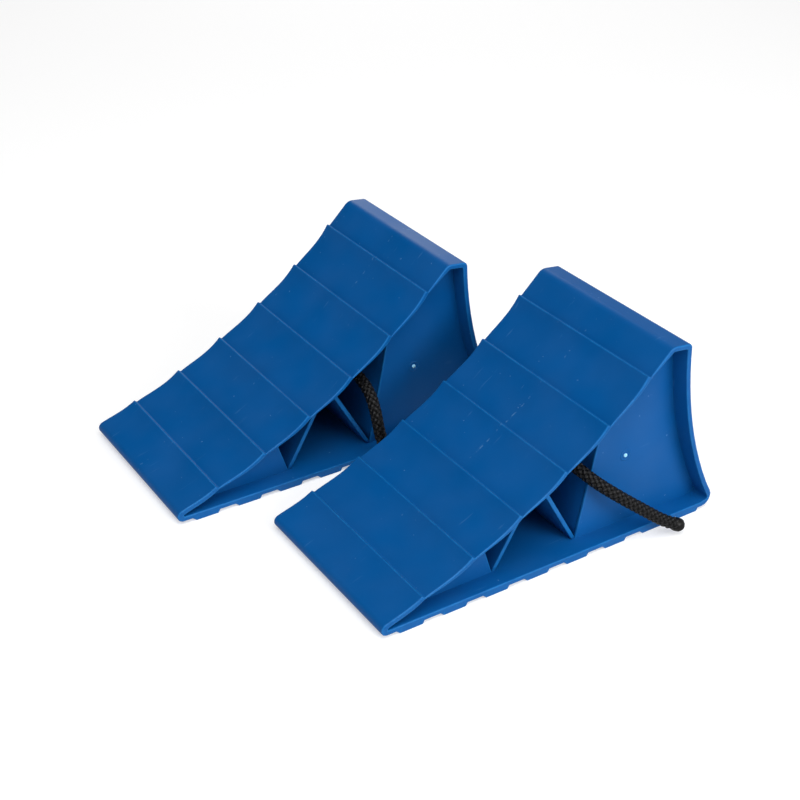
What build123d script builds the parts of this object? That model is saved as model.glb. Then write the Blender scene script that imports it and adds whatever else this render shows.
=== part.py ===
"""Pair of moulded wheel chocks joined by one braided rope.

Local frame of a chock: X from the toe tip to the heel, Y from the near
side to the far side, Z up from the ground.  The front chock's local frame
is moved by ORIGIN at the end, so that the pair stands centred on the
origin.  All sizes are millimetres.
"""

import math
import os

from build123d import *

# ---------------------------------------------------------------- moulding
LENGTH = 240.0            # toe tip to heel
WIDTH = 120.0             # near face to far face
WALL = 3.2                # outer skin
RIB = 2.6                 # struts, panels and web
SIDE_RECESS = 12.0        # panels and web lie this far inside their faces

# base plate and the grip lugs under it
LUG_HEIGHT = 2.2
LUG_COUNT = 8
LUG_FIRST = 12.3          # toe tip to the first lug's flat
LUG_PITCH = (LENGTH - 8.0) / LUG_COUNT
LUG_FLAT = LUG_PITCH / 2 + 0.1
LUG_LEAD = 2.5            # chamfer on the toe side
LUG_TRAIL = 1.2           # draft on the heel side
LUG_ROOT = 0.5            # how far a lug runs up into the plate

# ramp: ridges on one large circle, a shallow hollow before each
RIDGE_COUNT = 6
RIDGE_CHORD = 35.4
RIDGE_TURN = 4.8          # degrees of the ramp circle from ridge to ridge
RAMP_START = 19.8         # ramp circle's slope at the first ridge, degrees
FIRST_RIDGE = (26.3, 19.4)
HOLLOW = 1.5              # depth of a hollow below its chord
TOE_HOLLOW = 0.8
STEP_RUN = 1.6            # the small step behind each ridge
STEP_DROP = 1.5
RIDGE_BACKING = 3.3       # plastic below a ridge
NOSE_R = 4.0
NOSE_SLOPE = 17.0

# crest and back
CREST_X = 192.3
CREST_Z = 125.6
CREST_SLOPE = 6.4         # falls towards the back, degrees
CREST_FRONT_R = 6.5
CREST_BACK_R = 3.0
BACK_R = 258.0            # hollow back wall
BACK_CENTRE_Z = 138.0
HEEL_R = 6.5
INNER_HEEL_R = 2.0

# inner walls: foot on the base plate, and lean towards the heel per mm up
TOE_WALL = (79.4, -0.335)
STRUT_UP = (81.6, 0.553)
STRUT_DOWN = (140.6, -0.585)
BACK_WALL = (142.9, 0.176)
RIB_RISE = 140.0          # walls are drawn taller than the ramp, then cut

# rope
ROPE_D = 8.0
HOLE_CLEARANCE = 0.75
HOLE_X = 138.0
HOLE_Z = 56.0
KNOT_D = 2.625 * ROPE_D
KNOT_LENGTH = 2.5 * ROPE_D
KNOT_ROUND = 5.0
TIP_D = 1.1 * ROPE_D
TIP_LENGTH = 7.0

# how the pair stands
GAP = 33.0
STAGGER = 47.0            # the rear chock stands this far towards the toe

REAR_Y = WIDTH + GAP
ORIGIN = Vector((LENGTH - STAGGER) / 2, (REAR_Y + WIDTH) / 2, 0)
WEB_FAR = WIDTH - SIDE_RECESS
WEB_NEAR = WEB_FAR - RIB
PLATE_TOP = LUG_HEIGHT + WALL
HOLE_R = ROPE_D / 2 + HOLE_CLEARANCE
REAR_HOLE_X = HOLE_X - STAGGER
LYING = ROPE_D / 2        # height of the rope's middle on the ground


def at(x, z):
    """A point of the side profile."""
    return Vector(x, 0, z)


def hollow(start, end, depth):
    """A shallow arc that sags to the right of start -> end by depth."""
    run = end - start
    side = Vector(run.Z, 0, -run.X).normalized()
    return ThreePointArc(start, (start + end) / 2 + side * depth, end)


def ridge_point(index, inward=0.0):
    """Ridge on the ramp circle, or the same place deeper in the skin."""
    radius = RIDGE_CHORD / (2 * math.sin(math.radians(RIDGE_TURN / 2)))
    first = math.radians(RAMP_START)
    angle = math.radians(RAMP_START + RIDGE_TURN * index)
    centre_x = FIRST_RIDGE[0] - radius * math.sin(first)
    centre_z = FIRST_RIDGE[1] + radius * math.cos(first)
    reach = radius + inward
    return at(centre_x + reach * math.sin(angle),
              centre_z - reach * math.cos(angle))


def back_centre():
    """Centre of the back wall's circle, so that the heel ends at LENGTH."""
    foot = math.asin((BACK_CENTRE_Z - LUG_HEIGHT) / BACK_R)
    half_corner = (math.pi / 2 - foot) / 2
    corner_x = LENGTH - HEEL_R + HEEL_R / math.tan(half_corner)
    return at(corner_x + BACK_R * math.cos(foot), BACK_CENTRE_Z)


def back_point(height, inward=0.0):
    """Point of the back wall, or of its inner face, at a height."""
    centre = back_centre()
    reach = BACK_R + inward
    drop = centre.Z - height
    return at(centre.X - math.sqrt(reach ** 2 - drop ** 2), height)


def back_arc(top, bottom, inward=0.0):
    """Arc down the back wall between two heights."""
    middle = back_point((top + bottom) / 2, inward)
    return ThreePointArc(back_point(top, inward), middle,
                         back_point(bottom, inward))


def prism(edges):
    """Closed profile carried across the width."""
    return extrude(make_face(edges), amount=WIDTH, dir=(0, 1, 0))


def soften(solid, corner, radius):
    """Round the edge along Y that lies nearest a profile corner."""
    def distance(edge):
        middle = edge.center()
        return math.hypot(middle.X - corner.X, middle.Z - corner.Z)
    edge = min(solid.edges().filter_by(Axis.Y), key=distance)
    return fillet(edge, radius)


def crest_corners(inward=0.0):
    """Front and back corner of the crest, or of the space below it."""
    fall = math.tan(math.radians(CREST_SLOPE))
    last = ridge_point(RIDGE_COUNT - 1) + at(STEP_RUN, -STEP_DROP)
    slope = (at(CREST_X, CREST_Z) - last).normalized()
    lower = Vector(slope.Z, 0, -slope.X) * inward
    front = at(CREST_X, CREST_Z) + lower
    lift = inward / math.cos(math.radians(CREST_SLOPE))
    top = CREST_Z - lift - (front.X - CREST_X) * fall
    front = front + slope * ((top - front.Z) / (slope.Z + slope.X * fall))
    back = back_point(front.Z, inward)
    for _ in range(3):
        back = back_point(front.Z - (back.X - front.X) * fall, inward)
    return front, back


def outer_block():
    """The chock's outer shape without its lugs, as a full block."""
    lean = math.radians(NOSE_SLOPE)
    nose = at(NOSE_R, LUG_HEIGHT + NOSE_R)
    under = at(NOSE_R, LUG_HEIGHT)
    over = nose + at(-NOSE_R * math.sin(lean), NOSE_R * math.cos(lean))
    edges = [ThreePointArc(under, nose - at(NOSE_R, 0), over)]
    place = over
    for index in range(RIDGE_COUNT):
        ridge = ridge_point(index)
        depth = HOLLOW if index else TOE_HOLLOW
        edges.append(hollow(place, ridge, depth))
        place = ridge + at(STEP_RUN, -STEP_DROP)
        edges.append(Line(ridge, place))
    front, back = crest_corners()
    heel = back_point(LUG_HEIGHT)
    edges.append(Line(place, front))
    edges.append(Line(front, back))
    edges.append(back_arc(back.Z, LUG_HEIGHT))
    edges.append(Line(heel, under))
    block = prism(edges)
    block = soften(block, front, CREST_FRONT_R)
    block = soften(block, back, CREST_BACK_R)
    return soften(block, heel, HEEL_R)


def inner_block():
    """The space inside the skin, as a full block."""
    start = at(NOSE_R, PLATE_TOP)
    edges = []
    place = start
    for index in range(RIDGE_COUNT):
        below = ridge_point(index, RIDGE_BACKING)
        depth = HOLLOW if index else TOE_HOLLOW
        edges.append(hollow(place, below, depth))
        place = below
    front, back = crest_corners(WALL)
    heel = back_point(PLATE_TOP, WALL)
    edges.append(Line(place, front))
    edges.append(Line(front, back))
    edges.append(back_arc(back.Z, PLATE_TOP, WALL))
    edges.append(Line(heel, start))
    return soften(prism(edges), heel, INNER_HEEL_R)


def lugs():
    """Grip lugs under the base plate."""
    found = []
    top = LUG_HEIGHT + LUG_ROOT
    for index in range(LUG_COUNT):
        left = LUG_FIRST + index * LUG_PITCH
        right = left + LUG_FLAT
        outline = Polyline(
            at(left - LUG_LEAD, LUG_HEIGHT), at(left, 0), at(right, 0),
            at(right + LUG_TRAIL, LUG_HEIGHT), at(right + LUG_TRAIL, top),
            at(left - LUG_LEAD, top), close=True)
        found.append(prism(outline.edges()))
    return found


def lean_x(wall, height):
    """Where a leaning wall's heel-side face is at a height."""
    foot, lean = wall
    return foot + lean * (height - PLATE_TOP)


def slab(outline, near, far):
    """Side-profile polygon given a thickness along Y."""
    face = make_face(Polyline(*outline, close=True).edges())
    solid = extrude(face, amount=far - near, dir=(0, 1, 0))
    return Pos(0, near, 0) * solid


def leaning_wall(wall, far, thick=RIB):
    """A strut that runs from the panels' plane to the far end given."""
    thick_x = thick * math.hypot(1, wall[1])
    low, high = LUG_HEIGHT + 1, RIB_RISE
    outline = [at(lean_x(wall, low), low),
               at(lean_x(wall, low) + thick_x, low),
               at(lean_x(wall, high) + thick_x, high),
               at(lean_x(wall, high), high)]
    return slab(outline, SIDE_RECESS, far)


def inner_walls(block):
    """Panels, struts and web, cut to the chock's outer shape."""
    low, high = LUG_HEIGHT + 1, RIB_RISE
    toe_low, toe_high = lean_x(TOE_WALL, low), lean_x(TOE_WALL, high)
    back_low, back_high = lean_x(BACK_WALL, low), lean_x(BACK_WALL, high)
    toe_panel = slab([at(1, low), at(toe_low + 1, low),
                      at(toe_high + 1, high), at(1, high)],
                     SIDE_RECESS, SIDE_RECESS + RIB)
    back_panel = slab([at(back_low + 1, low), at(LENGTH, low),
                       at(LENGTH, high), at(back_high + 1, high)],
                      SIDE_RECESS, SIDE_RECESS + RIB)
    web = slab([at(toe_low + 1, low), at(back_low + 1, low),
                at(back_high + 1, high), at(toe_high + 1, high)],
               WEB_NEAR, WEB_FAR)
    hole = Pos(HOLE_X, WEB_NEAR - RIB, HOLE_Z) * Rot(-90, 0, 0) * Cylinder(
        HOLE_R, 3 * RIB, align=(Align.CENTER, Align.CENTER, Align.MIN))
    web = web - hole
    walls = [leaning_wall(wall, WEB_FAR)
             for wall in (TOE_WALL, STRUT_UP, STRUT_DOWN, BACK_WALL)]
    return [block & piece for piece in (toe_panel, back_panel, web, *walls)]


def chock():
    """One moulding in its own local frame."""
    block = outer_block()
    body = block - inner_block()
    for piece in inner_walls(block):
        body = body + piece
    for lug in lugs():
        body = body + lug
    return body


# -------------------------------------------------------------------- rope
# Route points are in the front chock's local frame, from the front web,
# down between the chocks, and up through the rear chock's web.
SPAN_ROUTE = [
    (HOLE_X, WEB_NEAR, HOLE_Z),
    (HOLE_X, WEB_NEAR + 9.6, HOLE_Z),
    (HOLE_X + 0.5, WIDTH + 6.0, HOLE_Z - 4.0),
    (HOLE_X + 1.0, WIDTH + 12.0, HOLE_Z - 13.5),
    (HOLE_X + 1.0, WIDTH + 13.5, HOLE_Z - 25.5),
    (HOLE_X - 1.5, WIDTH + 14.0, LYING + 14.5),
    (HOLE_X - 8.5, WIDTH + 14.8, LYING + 4.8),
    (HOLE_X - 20.0, WIDTH + 16.0, LYING + 0.2),
    (HOLE_X - 31.5, WIDTH + 18.0, LYING + 0.6),
    (HOLE_X - 41.5, WIDTH + 20.0, LYING + 6.5),
    (REAR_HOLE_X - 1.0, REAR_Y - 12.0, LYING + 16.5),
    (REAR_HOLE_X - 3.5, REAR_Y - 11.5, HOLE_Z - 23.5),
    (REAR_HOLE_X - 3.0, REAR_Y - 6.5, HOLE_Z - 12.5),
    (REAR_HOLE_X - 1.5, REAR_Y + 3.0, HOLE_Z - 5.0),
    (REAR_HOLE_X - 0.5, REAR_Y + 17.0, HOLE_Z - 1.2),
    (REAR_HOLE_X, REAR_Y + 39.0, HOLE_Z + 0.4),
    (REAR_HOLE_X + 0.2, REAR_Y + 63.0, HOLE_Z + 0.6),
    (REAR_HOLE_X, REAR_Y + WEB_FAR - 21.0, HOLE_Z),
    (REAR_HOLE_X, REAR_Y + WEB_FAR, HOLE_Z)]
FRONT_TAIL_ROUTE = [
    (HOLE_X, WEB_NEAR - KNOT_LENGTH, HOLE_Z),
    (HOLE_X, WEB_NEAR - KNOT_LENGTH - 19.4, HOLE_Z),
    (HOLE_X + 0.6, 42.0, HOLE_Z + 1.6),
    (HOLE_X + 2.5, 20.0, HOLE_Z),
    (HOLE_X + 10.5, 5.5, HOLE_Z - 8.5),
    (HOLE_X + 24.0, -2.0, HOLE_Z - 19.5),
    (HOLE_X + 38.5, -5.5, HOLE_Z - 30.8),
    (HOLE_X + 50.5, -7.8, LYING + 11.8),
    (HOLE_X + 58.0, -9.2, LYING + 6.6),
    (HOLE_X + 63.0, -10.3, LYING + 4.0)]
REAR_KNOT_MIDDLE = REAR_Y + WEB_FAR + 11.5
REAR_TAIL_ROUTE = [
    (REAR_HOLE_X, REAR_KNOT_MIDDLE, HOLE_Z - KNOT_D / 2 + 1.0),
    (REAR_HOLE_X, REAR_KNOT_MIDDLE, HOLE_Z - KNOT_D / 2 - 8.5),
    (REAR_HOLE_X + 0.5, REAR_KNOT_MIDDLE + 2.0, LYING + 22.5),
    (REAR_HOLE_X + 3.0, REAR_KNOT_MIDDLE + 8.0, LYING + 12.5),
    (REAR_HOLE_X + 8.5, REAR_KNOT_MIDDLE + 15.0, LYING + 5.0),
    (REAR_HOLE_X + 16.5, REAR_KNOT_MIDDLE + 19.5, LYING + 1.2),
    (REAR_HOLE_X + 25.5, REAR_KNOT_MIDDLE + 22.0, LYING + 0.7)]


def corner_radii(points):
    """Radius at each corner: 0.45 of the shorter run over tan(turn / 2)."""
    radii = []
    for a, b, c in zip(points, points[1:], points[2:]):
        turn = math.radians((b - a).get_angle(c - b))
        radii.append(0.45 * min((b - a).length, (c - b).length)
                     / math.tan(turn / 2))
    return radii


def rope(name, route):
    """Round tube of rope along straight runs joined by arcs."""
    points = [Vector(*point) for point in route]
    radii = corner_radii(points)
    path = FilletPolyline(*points, radius=radii)
    start = Plane(origin=points[0], z_dir=points[1] - points[0])
    tube = sweep(start * Circle(ROPE_D / 2), path=path)
    expected = math.pi * (ROPE_D / 2) ** 2 * path.length
    print(name, "length", round(path.length, 1), "volume ratio",
          round(tube.volume / expected, 4), "radii",
          [round(radius, 1) for radius in radii])
    return tube


def knot(x, near):
    """Rounded outer shape of a stopper knot, its axis along Y."""
    barrel = Cylinder(KNOT_D / 2, KNOT_LENGTH,
                      align=(Align.CENTER, Align.CENTER, Align.MIN))
    barrel = fillet(barrel.edges().filter_by(GeomType.CIRCLE), KNOT_ROUND)
    return Pos(x, near, HOLE_Z) * Rot(-90, 0, 0) * barrel


def sealed_tip(route):
    """Melted rope end: a short rounded stub beyond a route's last point."""
    before, end = Vector(*route[-2]), Vector(*route[-1])
    stub = Cylinder(TIP_D / 2, TIP_LENGTH,
                    align=(Align.CENTER, Align.CENTER, Align.MIN))
    stub = fillet(stub.edges().group_by(Axis.Z)[-1], 0.8 * TIP_D / 2)
    return Plane(origin=end, z_dir=end - before) * stub


# ---------------------------------------------------------------- assembly
def main():
    moulding = chock()
    rear_x = -STAGGER
    nodes = {
        "chock_front": moulding,
        "chock_rear": Pos(rear_x, REAR_Y, 0) * moulding,
        "rope_span": rope("rope_span", SPAN_ROUTE),
        "rope_tail_front": rope("rope_tail_front", FRONT_TAIL_ROUTE),
        "rope_tail_rear": rope("rope_tail_rear", REAR_TAIL_ROUTE),
        "knot_front": knot(HOLE_X, WEB_NEAR - KNOT_LENGTH),
        "knot_rear": knot(REAR_HOLE_X, REAR_Y + WEB_FAR),
        "tip_front": sealed_tip(FRONT_TAIL_ROUTE),
        "tip_rear": sealed_tip(REAR_TAIL_ROUTE),
    }
    os.makedirs("parts", exist_ok=True)
    for name, solid in nodes.items():
        placed = Pos(*(-ORIGIN)) * solid
        placed.label = name
        export_step(placed, f"parts/{name}.step")


main()
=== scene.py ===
"""A pair of moulded wheel chocks joined by one braided rope.

Each chock is drawn in its own local frame in millimetres: X from the toe
tip to the heel, Y from the near side to the far side, Z up.  placed()
takes local millimetres to the shared frame in metres.
"""

import math

import bpy
import numpy as np
from mathutils import Matrix


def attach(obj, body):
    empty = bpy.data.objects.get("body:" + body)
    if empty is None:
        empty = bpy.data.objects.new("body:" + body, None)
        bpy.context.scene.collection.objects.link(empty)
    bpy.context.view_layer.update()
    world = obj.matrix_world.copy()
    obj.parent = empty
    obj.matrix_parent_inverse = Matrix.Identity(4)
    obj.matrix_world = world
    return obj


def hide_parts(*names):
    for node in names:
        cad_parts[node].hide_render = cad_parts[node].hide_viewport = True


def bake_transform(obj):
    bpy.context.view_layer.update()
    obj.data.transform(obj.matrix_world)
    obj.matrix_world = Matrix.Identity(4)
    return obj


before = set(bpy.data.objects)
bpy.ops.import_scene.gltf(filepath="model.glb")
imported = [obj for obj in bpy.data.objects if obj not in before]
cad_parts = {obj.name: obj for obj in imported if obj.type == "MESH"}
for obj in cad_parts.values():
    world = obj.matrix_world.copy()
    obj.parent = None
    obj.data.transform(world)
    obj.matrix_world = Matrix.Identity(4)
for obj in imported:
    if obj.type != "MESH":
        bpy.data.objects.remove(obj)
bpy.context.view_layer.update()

# ------------------------------------------------------------- dimensions
LENGTH, WIDTH, WALL, RIB, RECESS = 240.0, 120.0, 3.2, 2.6, 12.0
LUG_HEIGHT, LUG_COUNT, LUG_FIRST, LUG_PITCH = 2.2, 8, 12.3, 29.0
LUG_FLAT, LUG_LEAD, LUG_TRAIL = 14.6, 2.5, 1.2
PLATE_TOP = LUG_HEIGHT + WALL
RIDGES, CHORD, TURN, RAMP_START = 6, 35.4, 4.8, 19.8
FIRST_RIDGE = np.array([26.3, 19.4])
HOLLOW, TOE_HOLLOW, BACKING = 1.7, 0.9, 3.3
STEP = np.array([1.6, -1.5])
NOSE_R, NOSE_SLOPE = 4.0, 17.0
CREST_X, CREST_Z, CREST_SLOPE = 192.3, 125.6, 6.4
BACK_R, BACK_CENTRE_Z, HEEL_R = 258.0, 138.0, 6.5
TOE_WALL, STRUT_UP = (79.4, -0.335), (81.6, 0.553)
STRUT_DOWN, BACK_WALL = (140.6, -0.585), (142.9, 0.176)
WEB_FAR = WIDTH - RECESS
WEB_NEAR = WEB_FAR - RIB
ROPE_D, HOLE_X, HOLE_Z, HOLE_R = 8.0, 138.0, 56.0, 4.75
KNOT_D, KNOT_LENGTH = 21.0, 20.0
STAGGER, REAR_Y = 47.0, 153.0
ORIGIN = np.array([96.5, 136.5, 0.0])
RIM_R = 0.7
GATE = (176.1, 53.0)
CAVITY_TOE_X, CAVITY_NOSE = 4.6, (4.3, 6.75)
BACK_FOOT_Z, BACK_ROWS = 20.0, 12
STRUT_EMBED, STRUT_SINK, PANEL_EMBED = 1.1, 1.2, 1.3
PANEL_LAP, WEB_LAP, WEB_INSET = 0.6, 0.3, 0.4
TOE_PANEL_START, TOE_PANEL_CENTRE = 8.0, (58.0, 14.0)
BACK_PANEL_END, BACK_PANEL_MIDDLE = 234.5, (190.0, 60.0)
NO_HOLE = 0.02
MIDLINE_Y = REAR_Y / 2000  # each chock's middle in the frame, in metres

SPAN_ROUTE = [
    (138.0, 105.4, 56.0), (138.0, 115.0, 56.0), (138.5, 126.0, 52.0),
    (139.0, 132.0, 42.5), (139.0, 133.5, 30.5), (136.5, 134.0, 18.5),
    (129.5, 134.8, 8.8), (118.0, 136.0, 4.2), (106.5, 138.0, 4.6),
    (96.5, 140.0, 10.5), (90.0, 141.0, 20.5), (87.5, 141.5, 32.5),
    (88.0, 146.5, 43.5), (89.5, 156.0, 51.0), (90.5, 170.0, 54.8),
    (91.0, 192.0, 56.4), (91.2, 216.0, 56.6), (91.0, 240.0, 56.0),
    (91.0, 261.0, 56.0)]
FRONT_TAIL_ROUTE = [
    (138.0, 85.4, 56.0), (138.0, 66.0, 56.0), (138.6, 42.0, 57.6),
    (140.5, 20.0, 56.0), (148.5, 5.5, 47.5), (162.0, -2.0, 36.5),
    (176.5, -5.5, 25.2), (188.5, -7.8, 15.8), (196.0, -9.2, 10.6),
    (201.0, -10.3, 8.0)]
REAR_TAIL_ROUTE = [
    (91.0, 272.5, 46.5), (91.0, 272.5, 37.0), (91.5, 274.5, 26.5),
    (94.0, 280.5, 16.5), (99.5, 287.5, 9.0), (107.5, 292.0, 5.2),
    (116.5, 294.5, 4.7)]


def placed(points, rear=False):
    """Local millimetres to the shared frame in metres."""
    shift = np.array([-STAGGER, REAR_Y, 0.0]) if rear else np.zeros(3)
    return (np.asarray(points, float) + shift - ORIGIN) * 0.001


# ---------------------------------------------------------- mesh building
class Shells:
    """Closed shells gathered into one mesh, with float data per vertex."""

    def __init__(self):
        self.verts, self.quads, self.data, self.count = [], [], [], 0

    def grid(self, points, wrap_v=True, wrap_u=True, caps=False, data=0.0):
        """Surface through points[u, v], closed in the ways asked.  With
        caps, the first and last row are closed by strips between vertex j
        and its partner, the rows being symmetric loops."""
        nu, nv = points.shape[:2]
        index = np.arange(nu * nv).reshape(nu, nv)
        a = index if wrap_u else index[:-1]
        b = np.roll(index, -1, 0) if wrap_u else index[1:]
        if wrap_v:
            quads = np.stack([a, b, np.roll(b, -1, 1), np.roll(a, -1, 1)], -1)
        else:
            quads = np.stack([a[:, :-1], b[:, :-1], b[:, 1:], a[:, 1:]], -1)
        quads = [quads.reshape(-1, 4)]
        if caps:
            low, high = np.arange(nv // 2 - 1), nv - 1 - np.arange(nv // 2 - 1)
            strip = np.stack([low, low + 1, high - 1, high], -1)
            quads.append(index[0][strip])
            quads.append(index[-1][strip][:, ::-1])
        quads = np.concatenate(quads)
        flat = points.reshape(-1, 3)
        corner = flat[quads]
        first = np.cross(corner[:, 1] - corner[:, 0],
                         corner[:, 2] - corner[:, 0])
        second = np.cross(corner[:, 2] - corner[:, 0],
                          corner[:, 3] - corner[:, 0])
        centre = flat.mean(0)
        volume = ((corner[:, 0] - centre) * (first + second)).sum()
        if volume < 0:
            quads = quads[:, ::-1]
        self.verts.append(flat)
        self.quads.append(quads + self.count)
        self.data.append(np.broadcast_to(data, (nu, nv)).reshape(-1))
        self.count += len(flat)

    def build(self, name, to_frame, attribute="edge", extra=None):
        """The gathered shells as one smooth-shaded object."""
        verts = to_frame(np.concatenate(self.verts))
        quads = np.concatenate(self.quads).astype(np.int32)
        mesh = bpy.data.meshes.new(name)
        mesh.vertices.add(len(verts))
        mesh.vertices.foreach_set("co", verts.astype(np.float32).ravel())
        mesh.loops.add(quads.size)
        mesh.loops.foreach_set("vertex_index", quads.ravel())
        mesh.polygons.add(len(quads))
        starts = np.arange(0, quads.size, 4, dtype=np.int32)
        mesh.polygons.foreach_set("loop_start", starts)
        mesh.update(calc_edges=True)
        mesh.validate()
        layer = mesh.attributes.new(attribute, "FLOAT", "POINT")
        layer.data.foreach_set(
            "value", np.concatenate(self.data).astype(np.float32))
        if extra is not None:
            layer = mesh.attributes.new("fibre", "FLOAT_VECTOR", "POINT")
            layer.data.foreach_set("vector", extra.astype(np.float32).ravel())
        mesh.shade_smooth()
        piece = bpy.data.objects.new(name, mesh)
        bpy.context.scene.collection.objects.link(piece)
        return piece


# ---------------------------------------------------------- side profiles
def ridge(index, inward=0.0):
    """Ridge on the ramp's circle, or the place that far below it."""
    radius = CHORD / (2 * math.sin(math.radians(TURN / 2)))
    first = math.radians(RAMP_START)
    angle = math.radians(RAMP_START + TURN * index)
    centre = FIRST_RIDGE + radius * np.array([-math.sin(first),
                                              math.cos(first)])
    return centre + (radius + inward) * np.array([math.sin(angle),
                                                  -math.cos(angle)])


def back(height, inward=0.0):
    """Point of the hollow back wall, or of its inner face, at a height."""
    foot = math.asin((BACK_CENTRE_Z - LUG_HEIGHT) / BACK_R)
    corner = (LENGTH - HEEL_R
              + HEEL_R / math.tan((math.pi / 2 - foot) / 2))
    centre_x = corner + BACK_R * math.cos(foot)
    drop = BACK_CENTRE_Z - height
    return np.array([centre_x - math.sqrt((BACK_R + inward) ** 2 - drop ** 2),
                     height])


def down_back(top, inward=0.0):
    """Points down the back wall, or its inner face, below a height."""
    heights = np.linspace(top, BACK_FOOT_Z, BACK_ROWS)[1:]
    return np.array([back(h, inward) for h in heights])


def crest(inward=0.0):
    """Front and back corner of the crest, or of the space below it."""
    fall = math.tan(math.radians(CREST_SLOPE))
    last = ridge(RIDGES - 1) + STEP
    top = np.array([CREST_X, CREST_Z])
    slope = (top - last) / np.linalg.norm(top - last)
    front = top + np.array([slope[1], -slope[0]]) * inward
    level = (CREST_Z - inward / math.cos(math.radians(CREST_SLOPE))
             - (front[0] - CREST_X) * fall)
    front = front + slope * (level - front[1]) / (slope[1] + slope[0] * fall)
    rear = back(front[1], inward)
    for _ in range(3):
        rear = back(front[1] - (rear[0] - front[0]) * fall, inward)
    return front, rear


def sag(start, end, depth, count=12):
    """Points after start up to end, hanging below the chord by depth, the
    lowest place being nearer the end: the share t to the power 1.7 times
    what is left."""
    t = np.linspace(0, 1, count + 1)[1:, None]
    run = end - start
    side = np.array([run[1], -run[0]]) / np.linalg.norm(run)
    peak = (1.7 / 2.7) ** 1.7 / 2.7
    return start + run * t + side * depth * t ** 1.7 * (1 - t) / peak


class Outline:
    """Corner points with a rounding radius and an edge value for each."""

    def __init__(self):
        self.points, self.radii, self.edge, self.marks = [], [], [], []

    def add(self, points, radius=0.0, edge=0.0, mark=False):
        """Adds points, of which the last has the radius, edge and mark."""
        points = np.atleast_2d(points)
        for k, point in enumerate(points):
            last = k == len(points) - 1
            self.points.append(point)
            self.radii.append(radius if last else 0.0)
            self.edge.append(edge if last else 0.0)
            if last and mark:
                self.marks.append(len(self.points) - 1)

    def rounded(self, step=3.0, arc_count=6, guard=0.35):
        """Points with each corner replaced by a tangent arc, the length
        along the unrounded outline at each, and the edge values."""
        corner = np.array(self.points)
        count = len(corner)
        length = np.linalg.norm(np.roll(corner, -1, 0) - corner, axis=1)
        begin = np.concatenate([[0.0], np.cumsum(length)[:-1]])
        out = []
        for k in range(count):
            here, ahead = corner[k], corner[(k + 1) % count]
            before = corner[k - 1]
            u = (here - before) / length[k - 1]
            v = (ahead - here) / length[k]
            turn = math.acos(np.clip(u @ v, -1, 1))
            if self.radii[k] == 0 or turn < 0.02:
                out.append((begin[k], *here, self.edge[k]))
                continue
            cut = self.radii[k] * math.tan(turn / 2)
            cut = min(cut, 0.9 * length[k - 1], 0.9 * length[k])
            radius = cut / math.tan(turn / 2)
            turn_way = math.copysign(1, u[0] * v[1] - u[1] * v[0])
            normal = np.array([-u[1], u[0]]) * turn_way
            centre = here - u * cut + normal * radius
            if cut + guard < 0.9 * length[k - 1]:
                out.append((begin[k] - cut - guard,
                            *(here - u * (cut + guard)), 0.0))
            for t in np.linspace(0, 1, arc_count + 1):
                angle = turn * t
                point = (centre - normal * radius * math.cos(angle)
                         + u * radius * math.sin(angle))
                out.append((begin[k] + cut * (2 * t - 1), *point,
                            self.edge[k]))
            if cut + guard < 0.9 * length[k]:
                out.append((begin[k] + cut + guard,
                            *(here + v * (cut + guard)), 0.0))
        out = np.array(out)
        pieces = []
        total = begin[-1] + length[-1]
        for k in range(len(out)):
            a, b = out[k], out[(k + 1) % len(out)].copy()
            if k == len(out) - 1:
                b[0] += total
            parts = max(1, math.ceil(np.linalg.norm(b[1:3] - a[1:3]) / step))
            t = np.arange(parts)[:, None] / parts
            pieces.append(a + (b - a) * t)
        dense = np.concatenate(pieces)
        return dense[:, 1:3], dense[:, 0], dense[:, 3], begin[self.marks]


def outer_outline():
    """Nose, six ridges with their hollows, crest, back wall and lugs."""
    line = Outline()
    angle = np.radians(np.linspace(270, 90 + NOSE_SLOPE, 16))
    centre = np.array([NOSE_R, LUG_HEIGHT + NOSE_R])
    nose = centre + NOSE_R * np.stack([np.cos(angle), np.sin(angle)], -1)
    line.add(nose[0], mark=True)
    line.add(nose[1:], mark=True)
    place = nose[-1]
    for k in range(RIDGES):
        # Ridge corners carry edge value 1.0: pale lines, partly wear and
        # partly painted highlight.
        line.add(sag(place, ridge(k), HOLLOW if k else TOE_HOLLOW),
                 0.55, 1.0, mark=True)
        place = ridge(k) + STEP
        line.add(place, 0.7, 0.15)
    front, rear = crest()
    line.add(front, 6.5, 0.0, mark=True)
    line.add(rear, 3.0, 0.3, mark=True)
    line.add(down_back(rear[1]))
    line.add(back(LUG_HEIGHT), HEEL_R, 0.25, mark=True)
    for k in reversed(range(LUG_COUNT)):
        left = LUG_FIRST + k * LUG_PITCH
        right = left + LUG_FLAT
        line.add((right + LUG_TRAIL, LUG_HEIGHT), 0.5)
        line.add((right, 0.0), 0.5, 0.8)
        line.add((left, 0.0), 0.5, 0.8)
        line.add((left - LUG_LEAD, LUG_HEIGHT), 0.5)
    return line


def inner_outline():
    """The cavity below the ramp, crest and back wall, above the plate."""
    line = Outline()
    line.add((CAVITY_TOE_X, PLATE_TOP), 0.45, mark=True)
    place = np.array(CAVITY_NOSE)
    line.add(place, 0.4, mark=True)
    for k in range(RIDGES):
        below = ridge(k, BACKING)
        line.add(sag(place, below, HOLLOW if k else TOE_HOLLOW), 1.0,
                 mark=True)
        place = below
    front, rear = crest(WALL)
    line.add(front, 2.0, mark=True)
    line.add(rear, 1.2, mark=True)
    line.add(down_back(rear[1], WALL))
    line.add(back(PLATE_TOP, WALL), 2.0, mark=True)
    return line


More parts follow.
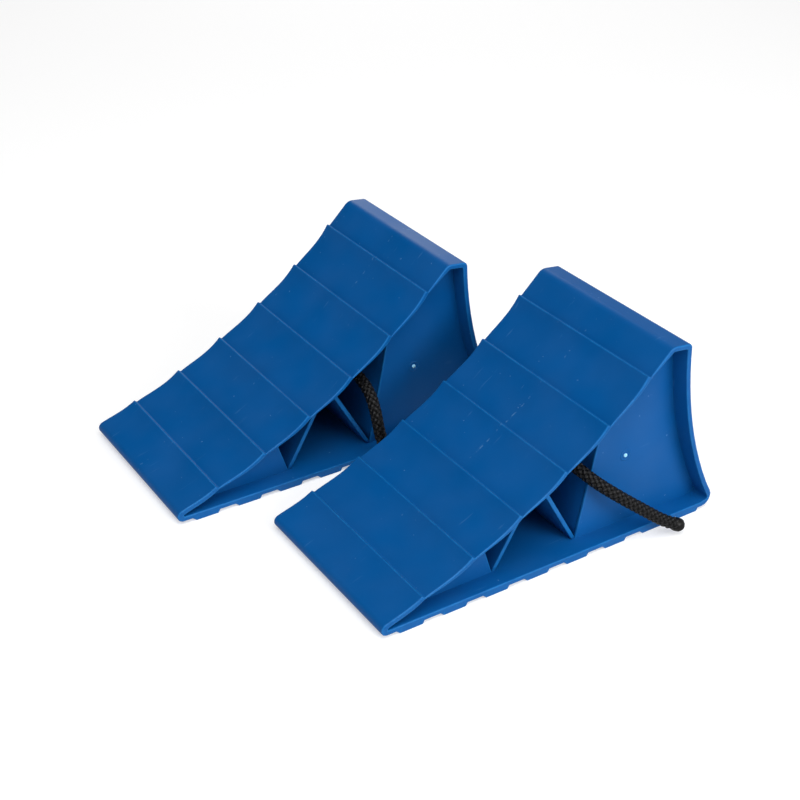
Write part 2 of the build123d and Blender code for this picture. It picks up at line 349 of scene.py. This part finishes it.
def skin(shells):
    """Wall between the two outlines across the width.  Each outer point is
    paired with the inner point at the same share of the way between the
    marked corners, and the section between them has rounded rims."""
    outer, along, edge, marks = outer_outline().rounded()
    cavity, place, _, inner_marks = inner_outline().rounded(step=1.0)
    base = outer[:, 0]
    match = np.interp(along, marks, inner_marks)
    heel_x, start_x = back(LUG_HEIGHT)[0], NOSE_R
    total = inner_marks[-1] + back(PLATE_TOP, WALL)[0] - CAVITY_TOE_X
    share = np.clip((heel_x - base) / (heel_x - start_x), 0, 1)
    under = along > marks[-1]
    match[under] = (inner_marks[-1] + share * (total - inner_marks[-1]))[under]
    loop_place = np.append(place, total)
    loop = np.vstack([cavity, cavity[:1]])
    inner = np.stack([np.interp(match, loop_place, loop[:, 0]),
                      np.interp(match, loop_place, loop[:, 1])], -1)
    depth = np.linalg.norm(inner - outer, axis=1, keepdims=True)
    inward = (inner - outer) / depth
    # Rim rows carry edge value 0.9: pale edges, partly wear and partly painted
    # highlight.
    runs = np.array([RIM_R, RIM_R + 0.35, 15, 30, 45, 60, 75, 90, 105,
                     WIDTH - RIM_R - 0.35, WIDTH - RIM_R])
    quarter = np.radians([22.5, 45.0, 67.5, 90.0])
    curl = [(RIM_R * (1 - math.cos(a)), RIM_R * (1 - math.sin(a)))
            for a in quarter]
    section = [("outer", 0.0, y, 0.0) for y in runs]
    section += [("outer", a, WIDTH - y, 0.9) for a, y in curl]
    section += [("outer", RIM_R + 0.3, WIDTH, 0.2),
                ("inner", RIM_R + 0.3, WIDTH, 0.2)]
    section += [("inner", a, WIDTH - y, 0.9) for a, y in reversed(curl)]
    section += [("inner", 0.0, y, 0.0) for y in runs[::-1]]
    section += [("inner", a, y, 0.9) for a, y in curl]
    section += [("inner", RIM_R + 0.3, 0.0, 0.2),
                ("outer", RIM_R + 0.3, 0.0, 0.2)]
    section += [("outer", a, y, 0.9) for a, y in reversed(curl)]
    rows, marks_out = [], []
    for side, offset, y, rim in section:
        flat = (outer + inward * offset if side == "outer"
                else inner - inward * offset)
        rows.append(np.stack([flat[:, 0], np.full(len(flat), y),
                              flat[:, 1]], -1))
        ridge_edge = edge if side == "outer" else 0 * edge
        marks_out.append(np.maximum(ridge_edge, rim))
    shells.grid(np.stack(rows, 1), data=np.stack(marks_out, 1))


def ceiling():
    """Inner outline from the nose over the crest and down to the heel."""
    points, along, _, marks = inner_outline().rounded(step=1.5)
    keep = (along >= marks[1]) & (along <= marks[-1])
    return points[keep]


def lean_x(wall, height):
    """Where a leaning wall's toe-side face is at a height."""
    return wall[0] + wall[1] * (height - PLATE_TOP)


def under_ramp(x, lean=0.0, embed=STRUT_EMBED):
    """Height at which a line leaning from (x, plate top) meets the ramp."""
    roof = ceiling()
    roof = roof[:roof[:, 1].argmax() + 1]
    z = np.full(np.shape(x), 40.0)
    for _ in range(60):
        at = x + lean * (z - PLATE_TOP)
        z = 0.5 * z + 0.5 * (np.interp(at, roof[:, 0], roof[:, 1]) + embed)
    return z


def strut(shells, wall, near, far):
    """Leaning plate: a rounded oblong in plan carried up to the ramp."""
    thick = RIB * math.hypot(1, wall[1])
    r, guard = 0.6, 0.35
    quarter = np.radians(np.linspace(0, 90, 5))
    right = [(thick - r + r * math.sin(a), near + r - r * math.cos(a))
             for a in quarter]
    left = [(thick - x, y) for x, y in right]
    half = [(thick / 2, near)] + right + [(thick, near + r + guard),
                                          (thick, (near + far) / 2),
                                          (thick, far)]
    other = [(0, far), (0, (near + far) / 2), (0, near + r + guard)]
    loop = np.array(half[1:] + other + left[::-1])
    rows, edge = [], []
    foot = lean_x(wall, PLATE_TOP) + loop[:, 0]
    top = under_ramp(foot, wall[1])
    for t in np.linspace(0, 1, 12):
        z = (PLATE_TOP - STRUT_SINK) * (1 - t) + top * t
        rows.append(np.stack([foot + wall[1] * (z - PLATE_TOP), loop[:, 1],
                              z], -1))
        edge.append((loop[:, 1] < near + r).astype(float) * 0.9)
    shells.grid(np.stack(rows), wrap_u=False, caps=True, data=np.stack(edge))


def plate(shells, boundary, centre, hole, near, far):
    """Flat plate: rings from a round hole out to a boundary, with rounded
    edges, the boundary being in view of the hole's centre all round."""
    r = 0.5
    boundary = np.asarray(boundary, float)
    centre = np.asarray(centre, float)
    spoke = boundary - centre
    reach = np.linalg.norm(spoke, axis=1, keepdims=True)
    spoke = spoke / reach
    quarter = np.radians(np.linspace(0, 90, 4))
    rows, edge = [], []

    def ring(distance, y, mark):
        """One ring at a distance along the spokes and a depth."""
        flat = centre + spoke * distance
        rows.append(np.stack([flat[:, 0], np.full(len(flat), y),
                              flat[:, 1]], -1))
        edge.append(np.full(len(flat), mark))

    small = min(r, hole * 0.4)
    shares = (0.0, 0.02, 0.12, 0.3, 0.55, 0.8, 0.97)
    for t in shares:
        ring(hole + small + (reach - r - hole - small) * t, near, 0.0)
    for a in quarter:
        ring(reach - r + r * math.sin(a), near + r - r * math.cos(a), 0.8)
    for a in quarter[::-1]:
        ring(reach - r + r * math.sin(a), far - r + r * math.cos(a), 0.8)
    for t in shares[::-1]:
        ring(hole + small + (reach - r - hole - small) * t, far, 0.0)
    for a in quarter:
        ring(hole + small - small * math.sin(a),
             far - small + small * math.cos(a), 0.5)
    for a in quarter[::-1]:
        ring(hole + small - small * math.sin(a),
             near + small - small * math.cos(a), 0.5)
    shells.grid(np.stack(rows, 1), data=np.stack(edge, 1))


def dense(points, step=1.5):
    """A polygon's points with its sides cut into short steps."""
    points = np.asarray(points, float)
    out = []
    for a, b in zip(points, np.roll(points, -1, 0)):
        parts = max(1, math.ceil(np.linalg.norm(b - a) / step))
        t = np.arange(parts)[:, None] / parts
        out.append(a + (b - a) * t)
    return np.concatenate(out)


def below_ramp(x0, x1, embed=PANEL_EMBED):
    """Points just inside the ramp's skin between two stations, x1 first."""
    x = np.linspace(x1, x0, 40)
    return np.stack([x, under_ramp(x, 0.0, embed)], -1)


def panels(shells):
    """Toe panel, web with the rope's hole, and back panel."""
    floor_z = PLATE_TOP - PANEL_EMBED
    thick = [RIB * math.hypot(1, wall[1]) for wall in (TOE_WALL, BACK_WALL)]

    def meets(wall, extra):
        """Where a wall's face meets the ramp."""
        foot = np.array(wall[0] + extra)
        z = float(under_ramp(foot, wall[1], PANEL_EMBED))
        return wall[0] + extra + wall[1] * (z - PLATE_TOP)

    toe_x = meets(TOE_WALL, thick[0])
    toe = np.vstack([[TOE_PANEL_START, floor_z],
                     [lean_x(TOE_WALL, floor_z) + thick[0], floor_z],
                     below_ramp(TOE_PANEL_START + 1, toe_x)])
    plate(shells, dense(toe), TOE_PANEL_CENTRE, NO_HOLE, RECESS,
          RECESS + RIB)
    web_start = meets(TOE_WALL, WEB_INSET)
    web_end = meets(BACK_WALL, thick[1] - WEB_INSET)
    web_foot = (lean_x(TOE_WALL, floor_z) + WEB_INSET,
                lean_x(BACK_WALL, floor_z) + thick[1] - WEB_INSET)
    web = np.vstack([[web_foot[0], floor_z], [web_foot[1], floor_z],
                     below_ramp(web_start, web_end)])
    plate(shells, dense(web), (HOLE_X, HOLE_Z), HOLE_R, WEB_NEAR, WEB_FAR)
    roof = ceiling()
    back_x = meets(BACK_WALL, 0.0)
    tail = roof[roof[:, 0] > back_x + 2]
    tail = tail[tail[:, 1] > PLATE_TOP + 3][::-1]
    middle = np.array(BACK_PANEL_MIDDLE)
    tail = tail + PANEL_EMBED * (tail - middle) / np.linalg.norm(
        tail - middle, axis=1, keepdims=True)
    rear = np.vstack([[lean_x(BACK_WALL, floor_z), floor_z],
                      [BACK_PANEL_END, floor_z], tail,
                      [back_x, float(under_ramp(np.array(back_x), 0,
                                                PANEL_EMBED))]])
    plate(shells, dense(rear), GATE, NO_HOLE, RECESS, RECESS + RIB)


def lathe(shells, centre, profile, edge=0.0, count=28):
    """Profile of (radius, depth) pairs turned about an axis along Y."""
    angle = np.linspace(0, 2 * math.pi, count, endpoint=False)
    rows = []
    for radius, depth in profile:
        rows.append(np.stack([centre[0] + radius * np.cos(angle),
                              np.full(count, depth),
                              centre[1] + radius * np.sin(angle)], -1))
    shells.grid(np.stack(rows), data=edge)


def gate_mark(shells):
    """Where the moulding was fed: a small nub inside a raised ring."""
    top = RECESS
    # The nub's edge value 3.0 gives it a painted highlight, a pale dot, in
    # moulded_surface.
    lathe(shells, GATE, [(0.02, top + 1), (1.3, top + 1), (1.25, top - 0.35),
                         (1.0, top - 0.75), (0.5, top - 0.9),
                         (0.02, top - 0.92)], 3.0)
    lathe(shells, GATE, [(2.6, top + 1), (3.9, top + 1), (3.75, top - 0.1),
                         (3.3, top - 0.24), (2.8, top - 0.1)], 0.2)


# ------------------------------------------------------------------- rope
def follow(route, name, step=0.8):
    """Evenly spaced points along a route's quadratic NURBS, read back from
    a curve without bevel, in local millimetres."""
    curve = bpy.data.curves.new(name, "CURVE")
    curve.dimensions = "3D"
    spline = curve.splines.new("NURBS")
    spline.points.add(len(route) - 1)
    for point, place in zip(spline.points, route):
        point.co = (*(np.array(place) * 0.001), 1.0)
    spline.order_u = 3
    spline.use_endpoint_u = True
    spline.resolution_u = 24
    holder = bpy.data.objects.new(name, curve)
    mesh = bpy.data.meshes.new_from_object(holder)
    points = np.empty(len(mesh.vertices) * 3)
    mesh.vertices.foreach_get("co", points)
    bpy.data.objects.remove(holder)
    bpy.data.curves.remove(curve)
    bpy.data.meshes.remove(mesh)
    return evenly(points.reshape(-1, 3) * 1000.0, step)


def evenly(points, step):
    """The same line at equal steps."""
    length = np.linalg.norm(np.diff(points, axis=0), axis=1)
    place = np.concatenate([[0], np.cumsum(length)])
    count = max(4, int(round(place[-1] / step)) + 1)
    want = np.linspace(0, place[-1], count)
    return np.stack([np.interp(want, place, points[:, k])
                     for k in range(3)], -1)


def frames(path):
    """Tangents and two normals carried along a path without twisting."""
    tangent = np.gradient(path, axis=0)
    tangent /= np.linalg.norm(tangent, axis=1, keepdims=True)
    start = np.array([0.0, 0.0, 1.0])
    if abs(tangent[0] @ start) > 0.8:
        start = np.array([1.0, 0.0, 0.0])
    normal = np.empty_like(path)
    for k, way in enumerate(tangent):
        start = start - way * (start @ way)
        start = start / np.linalg.norm(start)
        normal[k] = start
    return tangent, normal, np.cross(tangent, normal)


def braid(path, name, radius=ROPE_D / 2, seed=0):
    """Twelve flat strands, six each way round, one over and one under.
    A strand's angle grows with the length along the rope.  Its radius
    swings by a cosine of six times that angle, in opposite phase for the
    strands that run the other way.  A plain core fills the middle."""
    rng = np.random.default_rng(seed)
    tangent, normal, side = frames(path)
    step = np.linalg.norm(np.diff(path, axis=0), axis=1).mean()
    s = np.arange(len(path)) * step
    each, swing, width, thick, ring = 6, 0.42, 1.17, 0.66, 8
    middle = radius - swing - thick
    omega = 2 * math.pi / (3.05 * 2 * radius)
    shells = Shells()
    fibre = []
    phi = np.linspace(0, 2 * math.pi, ring, endpoint=False)
    for way in (1, -1):
        for k in range(each):
            theta = way * omega * s + 2 * math.pi * k / each
            theta = theta + 0.02 * np.sin(s * 0.9 + rng.uniform(0, 6))
            reach = middle + way * swing * np.cos(each * omega * s)
            reach = reach + rng.normal(0, 0.02)
            out = (np.cos(theta)[:, None] * normal
                   + np.sin(theta)[:, None] * side)
            around = np.cross(tangent, out)
            line = tangent + (way * omega * reach)[:, None] * around
            line /= np.linalg.norm(line, axis=1, keepdims=True)
            across = np.cross(line, out)
            centre = path + out * reach[:, None]
            tube = (centre[:, None]
                    + across[:, None] * (width * np.cos(phi))[None, :, None]
                    + out[:, None] * (thick * np.sin(phi))[None, :, None])
            # The lift value also drives the rope's painted shade and painted
            # glints.
            lift = np.broadcast_to(way * np.cos(each * omega * s)[:, None],
                                   (len(s), ring))
            shells.grid(tube, wrap_u=False, data=0.5 + 0.5 * lift)
            fibre.append(np.stack([
                np.broadcast_to(s[:, None] * 0.001, (len(s), ring)),
                np.broadcast_to(phi[None] / 6.2832, (len(s), ring)),
                np.full((len(s), ring), k + 10.0 * way)], -1).reshape(-1, 3))
    turn = np.linspace(0, 2 * math.pi, 16, endpoint=False)
    core = (path[:, None]
            + (radius - 1.05) * np.cos(turn)[None, :, None] * normal[:, None]
            + (radius - 1.05) * np.sin(turn)[None, :, None] * side[:, None])
    shells.grid(core, wrap_u=False, data=0.0)
    fibre.append(np.zeros((core.shape[0] * core.shape[1], 3)))
    return shells.build(name, placed, "lift", np.concatenate(fibre))


def knot_path(x, near, flip):
    """Stopper knot: the rope turns about the hole's axis nearly twice on a
    helix, and both ends turn in to the axis."""
    t = np.linspace(0, 1, 260)
    angle = flip * 2 * math.pi * 1.9 * t + 0.6
    ease = np.clip(np.minimum(t, 1 - t) / 0.13, 0, 1)
    ease = ease * ease * (3 - 2 * ease)
    reach = (KNOT_D / 2 - ROPE_D / 2 - 0.15) * ease
    depth = near + 1.0 + (KNOT_LENGTH - 2.0) * t
    squeeze = near + 4.3 + (KNOT_LENGTH - 8.6) * t
    depth = depth * (1 - ease) + squeeze * ease
    points = np.stack([x + reach * np.cos(angle), depth,
                       HOLE_Z + reach * np.sin(angle)], -1)
    return evenly(points, 0.8)


def sealed_tip(route, name, seed):
    """Melted rope end: a turned blob with a slightly uneven surface."""
    before, end = np.array(route[-2]), np.array(route[-1])
    way = (end - before) / np.linalg.norm(end - before)
    _, normal, side = frames(np.stack([end, end + way]))
    rng = np.random.default_rng(seed)
    turn = np.linspace(0, 2 * math.pi, 40, endpoint=False)
    profile = [(0.02, -1.0), (3.2, -1.0), (3.75, -0.6), (4.02, 0.0),
               (4.2, 0.5), (4.3, 1.2), (4.34, 2.0), (4.3, 3.0),
               (4.14, 4.0), (3.75, 5.0), (3.1, 5.9), (2.2, 6.5),
               (1.2, 6.8), (0.02, 6.88)]
    phase = rng.uniform(0, 6.28, 4)
    rows = []
    for radius, along in profile:
        wave = (0.10 * np.sin(3 * turn + phase[0] + along)
                + 0.06 * np.sin(5 * turn + phase[1] - 1.7 * along)
                + 0.05 * np.sin(8 * turn + phase[2] + 2.3 * along) - 0.12)
        size = radius + wave * min(1.0, radius / 3)
        rows.append(end + way * along
                    + (size * np.cos(turn))[:, None] * normal[0]
                    + (size * np.sin(turn))[:, None] * side[0])
    shells = Shells()
    shells.grid(np.stack(rows))
    return shells.build(name, placed, "lift")


# -------------------------------------------------------------- materials
def new_group(name, inputs, outputs):
    """Empty node group with the sockets given as (name, type, value)."""
    group = bpy.data.node_groups.new(name, "ShaderNodeTree")
    for title, kind, value in inputs:
        socket = group.interface.new_socket(title, in_out="INPUT",
                                            socket_type=kind)
        socket.default_value = value
    for title, kind in outputs:
        group.interface.new_socket(title, in_out="OUTPUT", socket_type=kind)
    return (group, group.nodes.new("NodeGroupInput"),
            group.nodes.new("NodeGroupOutput"))


class Wires:
    """Short calls for adding and joining nodes of a tree."""

    def __init__(self, tree):
        self.tree = tree

    def node(self, kind, _links=None, **settings):
        """Adds a node, sets its properties and links or sets its inputs."""
        made = self.tree.nodes.new(kind)
        for key, value in settings.items():
            setattr(made, key, value)
        for key, value in (_links or {}).items():
            if isinstance(value, bpy.types.NodeSocket):
                self.tree.links.new(value, made.inputs[key])
            else:
                made.inputs[key].default_value = value
        return made

    def noise(self, vector, scale, detail=3.0, rough=0.55):
        """Noise factor."""
        return self.node("ShaderNodeTexNoise", {
            "Vector": vector, "Scale": scale, "Detail": detail,
            "Roughness": rough}).outputs["Fac"]

    def math(self, operation, a, b=0.0, clamp=False):
        """One arithmetic step."""
        return self.node("ShaderNodeMath", {0: a, 1: b},
                         operation=operation, use_clamp=clamp).outputs[0]

    def span(self, value, low, high, to_low=0.0, to_high=1.0):
        """Value carried from one range to another, clamped."""
        return self.node("ShaderNodeMapRange", {
            "Value": value, "From Min": low, "From Max": high,
            "To Min": to_low, "To Max": to_high}).outputs["Result"]

    def mix(self, factor, a, b):
        """Colour mix."""
        made = self.node("ShaderNodeMix", {0: factor, 6: a, 7: b},
                         data_type="RGBA")
        return made.outputs[2]


def plastic_group():
    """Moulded plastic: cloudy colour, pale edges that are partly real wear and
    partly painted highlight, a painted highlight on the gate nub, faint
    scratches, fine grain and slow ripples in the height."""
    group, given, out = new_group(
        "moulded_surface",
        [("Colour", "NodeSocketColor", (0.0, 0.1, 0.4, 1.0)),
         ("Edge", "NodeSocketFloat", 0.0)],
        [("Colour", "NodeSocketColor"), ("Roughness", "NodeSocketFloat"),
         ("Height", "NodeSocketFloat")])
    w = Wires(group)
    where = w.node("ShaderNodeTexCoord").outputs["Object"]
    cloud = w.noise(where, 22.0, 4.0)
    fine = w.noise(where, 1700.0, 2.0)
    ripple = w.noise(where, 38.0, 1.0)
    stretched = w.node("ShaderNodeMapping", {
        "Vector": where, "Rotation": (0.0, 0.3, 0.5),
        "Scale": (24.0, 420.0, 60.0)}).outputs[0]
    scratch = w.span(w.noise(stretched, 1.0, 2.0, 0.7), 0.70, 0.78)
    crossed = w.node("ShaderNodeMapping", {
        "Vector": where, "Rotation": (0.2, -0.5, 1.2),
        "Scale": (18.0, 520.0, 90.0)}).outputs[0]
    scratch_two = w.span(w.noise(crossed, 1.0, 2.0, 0.7), 0.72, 0.79)
    lines = w.math("MAXIMUM", scratch, scratch_two)
    speck = w.span(w.noise(where, 420.0, 1.0), 0.78, 0.82)
    # Pale edges: partly real wear, partly painted highlight along rims and
    # ridges.
    wear_and_highlight = w.math("MULTIPLY", given.outputs["Edge"],
                  w.span(w.noise(where, 160.0, 4.0), 0.30, 0.62, 0.35, 1.0),
                  clamp=True)
    tone = w.node("ShaderNodeHueSaturation", {
        "Color": given.outputs["Colour"],
        "Value": w.span(cloud, 0.3, 0.7, 0.95, 1.06),
        "Saturation": w.span(ripple, 0.3, 0.7, 0.985, 1.0)}).outputs[0]
    # Painted highlight: where the edge value passes 1.5, on the gate nub, the
    # colour turns pale.
    nub_highlight = w.span(given.outputs["Edge"], 1.5, 2.5)
    pale = w.mix(0.35, tone, (0.02, 0.28, 0.66, 1.0))
    colour = w.mix(w.math("MULTIPLY", wear_and_highlight, 0.6), tone, pale)
    colour = w.mix(w.math("MULTIPLY", lines, 0.10), colour,
                   (0.2, 0.45, 0.8, 1.0))
    colour = w.mix(w.math("MULTIPLY", speck, 0.25), colour,
                   (0.25, 0.5, 0.85, 1.0))
    axes = w.node("ShaderNodeSeparateXYZ", {"Vector": where})
    off_middle = w.math("SUBTRACT", w.math(
        "ABSOLUTE", axes.outputs["Y"]), MIDLINE_Y)
    middle = w.span(w.math("ABSOLUTE", off_middle), 0.0002, 0.0005, 1.0, 0.0)
    broken = w.span(w.noise(where, 330.0, 2.0), 0.56, 0.62)
    upper = w.span(w.noise(where, 30.0, 0.0), 0.5, 0.56)
    flow = w.math("MULTIPLY", w.math("MULTIPLY", middle, broken), upper)
    colour = w.mix(w.math("MULTIPLY", flow, 0.17), colour,
                   (0.3, 0.6, 0.9, 1.0))
    rough = w.math("ADD", w.span(cloud, 0.3, 0.7, 0.36, 0.44),
                   w.math("MULTIPLY", lines, 0.12))
    # Painted highlight on the gate nub.
    colour = w.mix(nub_highlight, colour, (0.30, 0.62, 0.85, 1.0))
    height = w.math("ADD", w.math("MULTIPLY", fine, 0.055),
                    w.math("MULTIPLY", ripple, 1.3))
    height = w.math("SUBTRACT", height, w.math("MULTIPLY", lines, 0.05))
    group.links.new(colour, out.inputs["Colour"])
    group.links.new(rough, out.inputs["Roughness"])
    group.links.new(height, out.inputs["Height"])
    return group


def rope_group():
    """Braided yarn: fine fibres along each strand, painted shade where a
    strand dives under its neighbour, and painted glints on the strands'
    crowns."""
    group, given, out = new_group(
        "braid_surface",
        [("Fibre", "NodeSocketVector", (0.0, 0.0, 0.0)),
         ("Lift", "NodeSocketFloat", 0.5)],
        [("Colour", "NodeSocketColor"), ("Roughness", "NodeSocketFloat"),
         ("Height", "NodeSocketFloat")])
    w = Wires(group)
    fibre = w.node("ShaderNodeMapping", {
        "Vector": given.outputs["Fibre"],
        "Scale": (260.0, 46.0, 1.0)}).outputs[0]
    thread = w.noise(fibre, 1.0, 3.0, 0.6)
    where = w.node("ShaderNodeTexCoord").outputs["Object"]
    dust = w.noise(where, 300.0, 3.0)
    lit = w.mix(thread, (0.001, 0.001, 0.0012, 1.0),
                (0.006, 0.006, 0.0065, 1.0))
    # Painted shade: darker where a strand dives under its neighbour (low
    # lift).
    colour = w.mix(w.span(given.outputs["Lift"], 0.3, 0.9, 0.0, 1.0),
                   (0.0006, 0.0006, 0.0007, 1.0), lit)
    # Painted glints: pale dashes on the strands' crowns (high lift).
    colour = w.mix(w.span(given.outputs["Lift"], 0.86, 1.0, 0.0, 0.8), colour,
                   (0.045, 0.045, 0.047, 1.0))
    colour = w.mix(w.span(dust, 0.62, 0.8, 0.0, 0.2), colour,
                   (0.015, 0.015, 0.016, 1.0))
    rough = w.span(thread, 0.3, 0.7, 0.30, 0.46)
    group.links.new(colour, out.inputs["Colour"])
    group.links.new(rough, out.inputs["Roughness"])
    group.links.new(thread, out.inputs["Height"])
    return group


def surfaced(name, group, links, bump, settings):
    """Material whose group feeds one Principled shader."""
    material = bpy.data.materials.new(name)
    material.use_nodes = True
    tree = material.node_tree
    shader = tree.nodes["Principled BSDF"]
    w = Wires(tree)
    used = tree.nodes.new("ShaderNodeGroup")
    used.node_tree = group
    for socket, (attribute, kind) in links.items():
        source = w.node("ShaderNodeAttribute", attribute_name=attribute)
        tree.links.new(source.outputs[kind], used.inputs[socket])
    strength, distance = bump
    bumped = w.node("ShaderNodeBump", {
        "Height": used.outputs["Height"], "Strength": strength,
        "Distance": distance})
    tree.links.new(bumped.outputs[0], shader.inputs["Normal"])
    tree.links.new(used.outputs["Colour"], shader.inputs["Base Color"])
    tree.links.new(used.outputs["Roughness"], shader.inputs["Roughness"])
    for key, value in settings.items():
        shader.inputs[key].default_value = value
    return material, used


PLASTIC_GROUP, ROPE_GROUP = plastic_group(), rope_group()
PLASTIC, used = surfaced(
    "moulded_blue", PLASTIC_GROUP, {"Edge": ("edge", "Fac")},
    (0.5, 0.0006), {"IOR": 1.49, "Specular IOR Level": 0.14})
used.inputs["Colour"].default_value = (0.0002, 0.076, 0.268, 1.0)
ROPE, _ = surfaced(
    "braided_black", ROPE_GROUP,
    {"Fibre": ("fibre", "Vector"), "Lift": ("lift", "Fac")},
    (0.6, 0.0004), {"Specular IOR Level": 0.16})
SEALED, used = surfaced(
    "melted_black", ROPE_GROUP, {}, (0.35, 0.0005),
    {"Specular IOR Level": 0.25})
object_place = SEALED.node_tree.nodes.new("ShaderNodeTexCoord")
SEALED.node_tree.links.new(object_place.outputs["Object"],
                           used.inputs["Fibre"])


# --------------------------------------------------------------- assembly
def finish_piece(piece, material, body, node):
    """Material, body and replaced node of one piece."""
    piece.data.materials.append(material)
    if body:
        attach(piece, body)
    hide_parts(node)
    return piece


def moulding(name, rear, body, node):
    """One chock."""
    shells = Shells()
    skin(shells)
    panels(shells)
    for wall in (TOE_WALL, BACK_WALL):
        strut(shells, wall, RECESS + PANEL_LAP, WEB_FAR - WEB_LAP)
    for wall in (STRUT_UP, STRUT_DOWN):
        strut(shells, wall, RECESS, WEB_FAR - WEB_LAP)
    gate_mark(shells)
    piece = shells.build(name, lambda v: placed(v, rear))
    return finish_piece(piece, PLASTIC, body, node)


moulding("front_moulding", False, "front", "chock_front")
moulding("rear_moulding", True, "rear", "chock_rear")

front_tail_path = follow(FRONT_TAIL_ROUTE, "front_tail_route")
rear_tail_path = follow(REAR_TAIL_ROUTE, "rear_tail_route")
span_path = follow(SPAN_ROUTE, "span_route")
front_knot = finish_piece(
    braid(knot_path(HOLE_X, WEB_NEAR - KNOT_LENGTH, 1), "front_knot",
          seed=4), ROPE, "front", "knot_front")
rear_knot = finish_piece(
    braid(knot_path(HOLE_X - STAGGER, REAR_Y + WEB_FAR, -1), "rear_knot",
          seed=5), ROPE, "rear", "knot_rear")
front_tip = finish_piece(sealed_tip(FRONT_TAIL_ROUTE, "front_tip", 6),
                         SEALED, "front", "tip_front")
rear_tip = finish_piece(sealed_tip(REAR_TAIL_ROUTE, "rear_tip", 7),
                        SEALED, "rear", "tip_rear")
front_tail = finish_piece(braid(front_tail_path, "front_tail", seed=1),
                          ROPE, "front", "rope_tail_front")
rear_tail = finish_piece(braid(rear_tail_path, "rear_tail", seed=2),
                         ROPE, "rear", "rope_tail_rear")
span = finish_piece(braid(span_path, "span", seed=3),
                    ROPE, None, "rope_span")
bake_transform(span)


# ----------------------------------------------------------------- studio
floor_mesh = bpy.data.meshes.new("floor")
floor_mesh.from_pydata([(-6, -6, 0), (6, -6, 0), (6, 6, 0), (-6, 6, 0)], [],
                       [(0, 1, 2, 3)])
floor = bpy.data.objects.new("floor", floor_mesh)
bpy.context.scene.collection.objects.link(floor)
floor_material = bpy.data.materials.new("floor")
floor_material.use_nodes = True
floor_shader = floor_material.node_tree.nodes["Principled BSDF"]
floor_shader.inputs["Base Color"].default_value = (0.6, 0.6, 0.6, 1.0)
floor_shader.inputs["Emission Color"].default_value = (1, 1, 1, 1)
floor_shader.inputs["Emission Strength"].default_value = 0.46
floor_shader.inputs["Roughness"].default_value = 0.9
floor_shader.inputs["Specular IOR Level"].default_value = 0.0
floor_mesh.materials.append(floor_material)
floor.visible_glossy = False  # the plastic mirrors the plain sky alone

world = bpy.data.worlds.new("studio")
world.use_nodes = True
w = Wires(world.node_tree)
way = w.node("ShaderNodeTexCoord").outputs["Generated"]
facing = w.node("ShaderNodeVectorMath", {0: way, 1: (-0.2, 0.7, 0.68)},
                operation="DOT_PRODUCT").outputs["Value"]
sky = world.node_tree.nodes["Background"]
sky.inputs[0].default_value = (1, 1, 1, 1)
world.node_tree.links.new(w.span(facing, 0.2, 0.85, 0.5, 0.04),
                          sky.inputs[1])
bpy.context.scene.world = world


def pose_matrix(x, y, z, place):
    """Matrix of an object whose axes and place are given."""
    rows = np.stack([x, y, z, place], -1)
    return Matrix([tuple(row) for row in rows] + [(0, 0, 0, 1)])


def softbox(name, place, target, size, power):
    """Square area light aimed at a point."""
    data = bpy.data.lights.new(name, "AREA")
    data.size = size
    data.energy = power
    lamp = bpy.data.objects.new(name, data)
    place, target = np.array(place, float), np.array(target, float)
    z = (place - target) / np.linalg.norm(place - target)
    x = np.cross((0.0, 0.0, 1.0), z)
    x /= np.linalg.norm(x)
    y = np.cross(z, x)
    lamp.matrix_world = pose_matrix(x, y, z, place)
    bpy.context.scene.collection.objects.link(lamp)


softbox("top", (-0.45, -0.75, 1.8), (0, 0, 0.05), 1.5, 34.0)
softbox("front", (0.6, -1.9, 0.8), (0, 0, 0.05), 1.2, 26.0)
softbox("crest", (0.95, 1.5, 0.8), (0, 0, 0.05), 0.7, 4.5)

# ----------------------------------------------------------------- camera
AZIMUTH, ELEVATION, ROLL = map(math.radians, (-33.674, 30.823, 1.057))
CAMERA_AT = (-0.4189, -0.6340, 0.5056)
LENS = 64.09
backward = np.array([math.sin(AZIMUTH) * math.cos(ELEVATION),
                     -math.cos(AZIMUTH) * math.cos(ELEVATION),
                     math.sin(ELEVATION)])
level = np.array([math.cos(AZIMUTH), math.sin(AZIMUTH), 0.0])
upright = np.cross(backward, level)
rightward = level * math.cos(ROLL) + upright * math.sin(ROLL)
upward = upright * math.cos(ROLL) - level * math.sin(ROLL)
camera_data = bpy.data.cameras.new("camera")
camera_data.lens = LENS
camera_data.sensor_width = 36.0
camera_data.clip_start = 0.01
camera_data.dof.use_dof = False
camera = bpy.data.objects.new("camera", camera_data)
camera.matrix_world = pose_matrix(rightward, upward, backward, CAMERA_AT)
bpy.context.scene.collection.objects.link(camera)
bpy.context.scene.camera = camera
bpy.context.scene.view_settings.view_transform = "Standard"
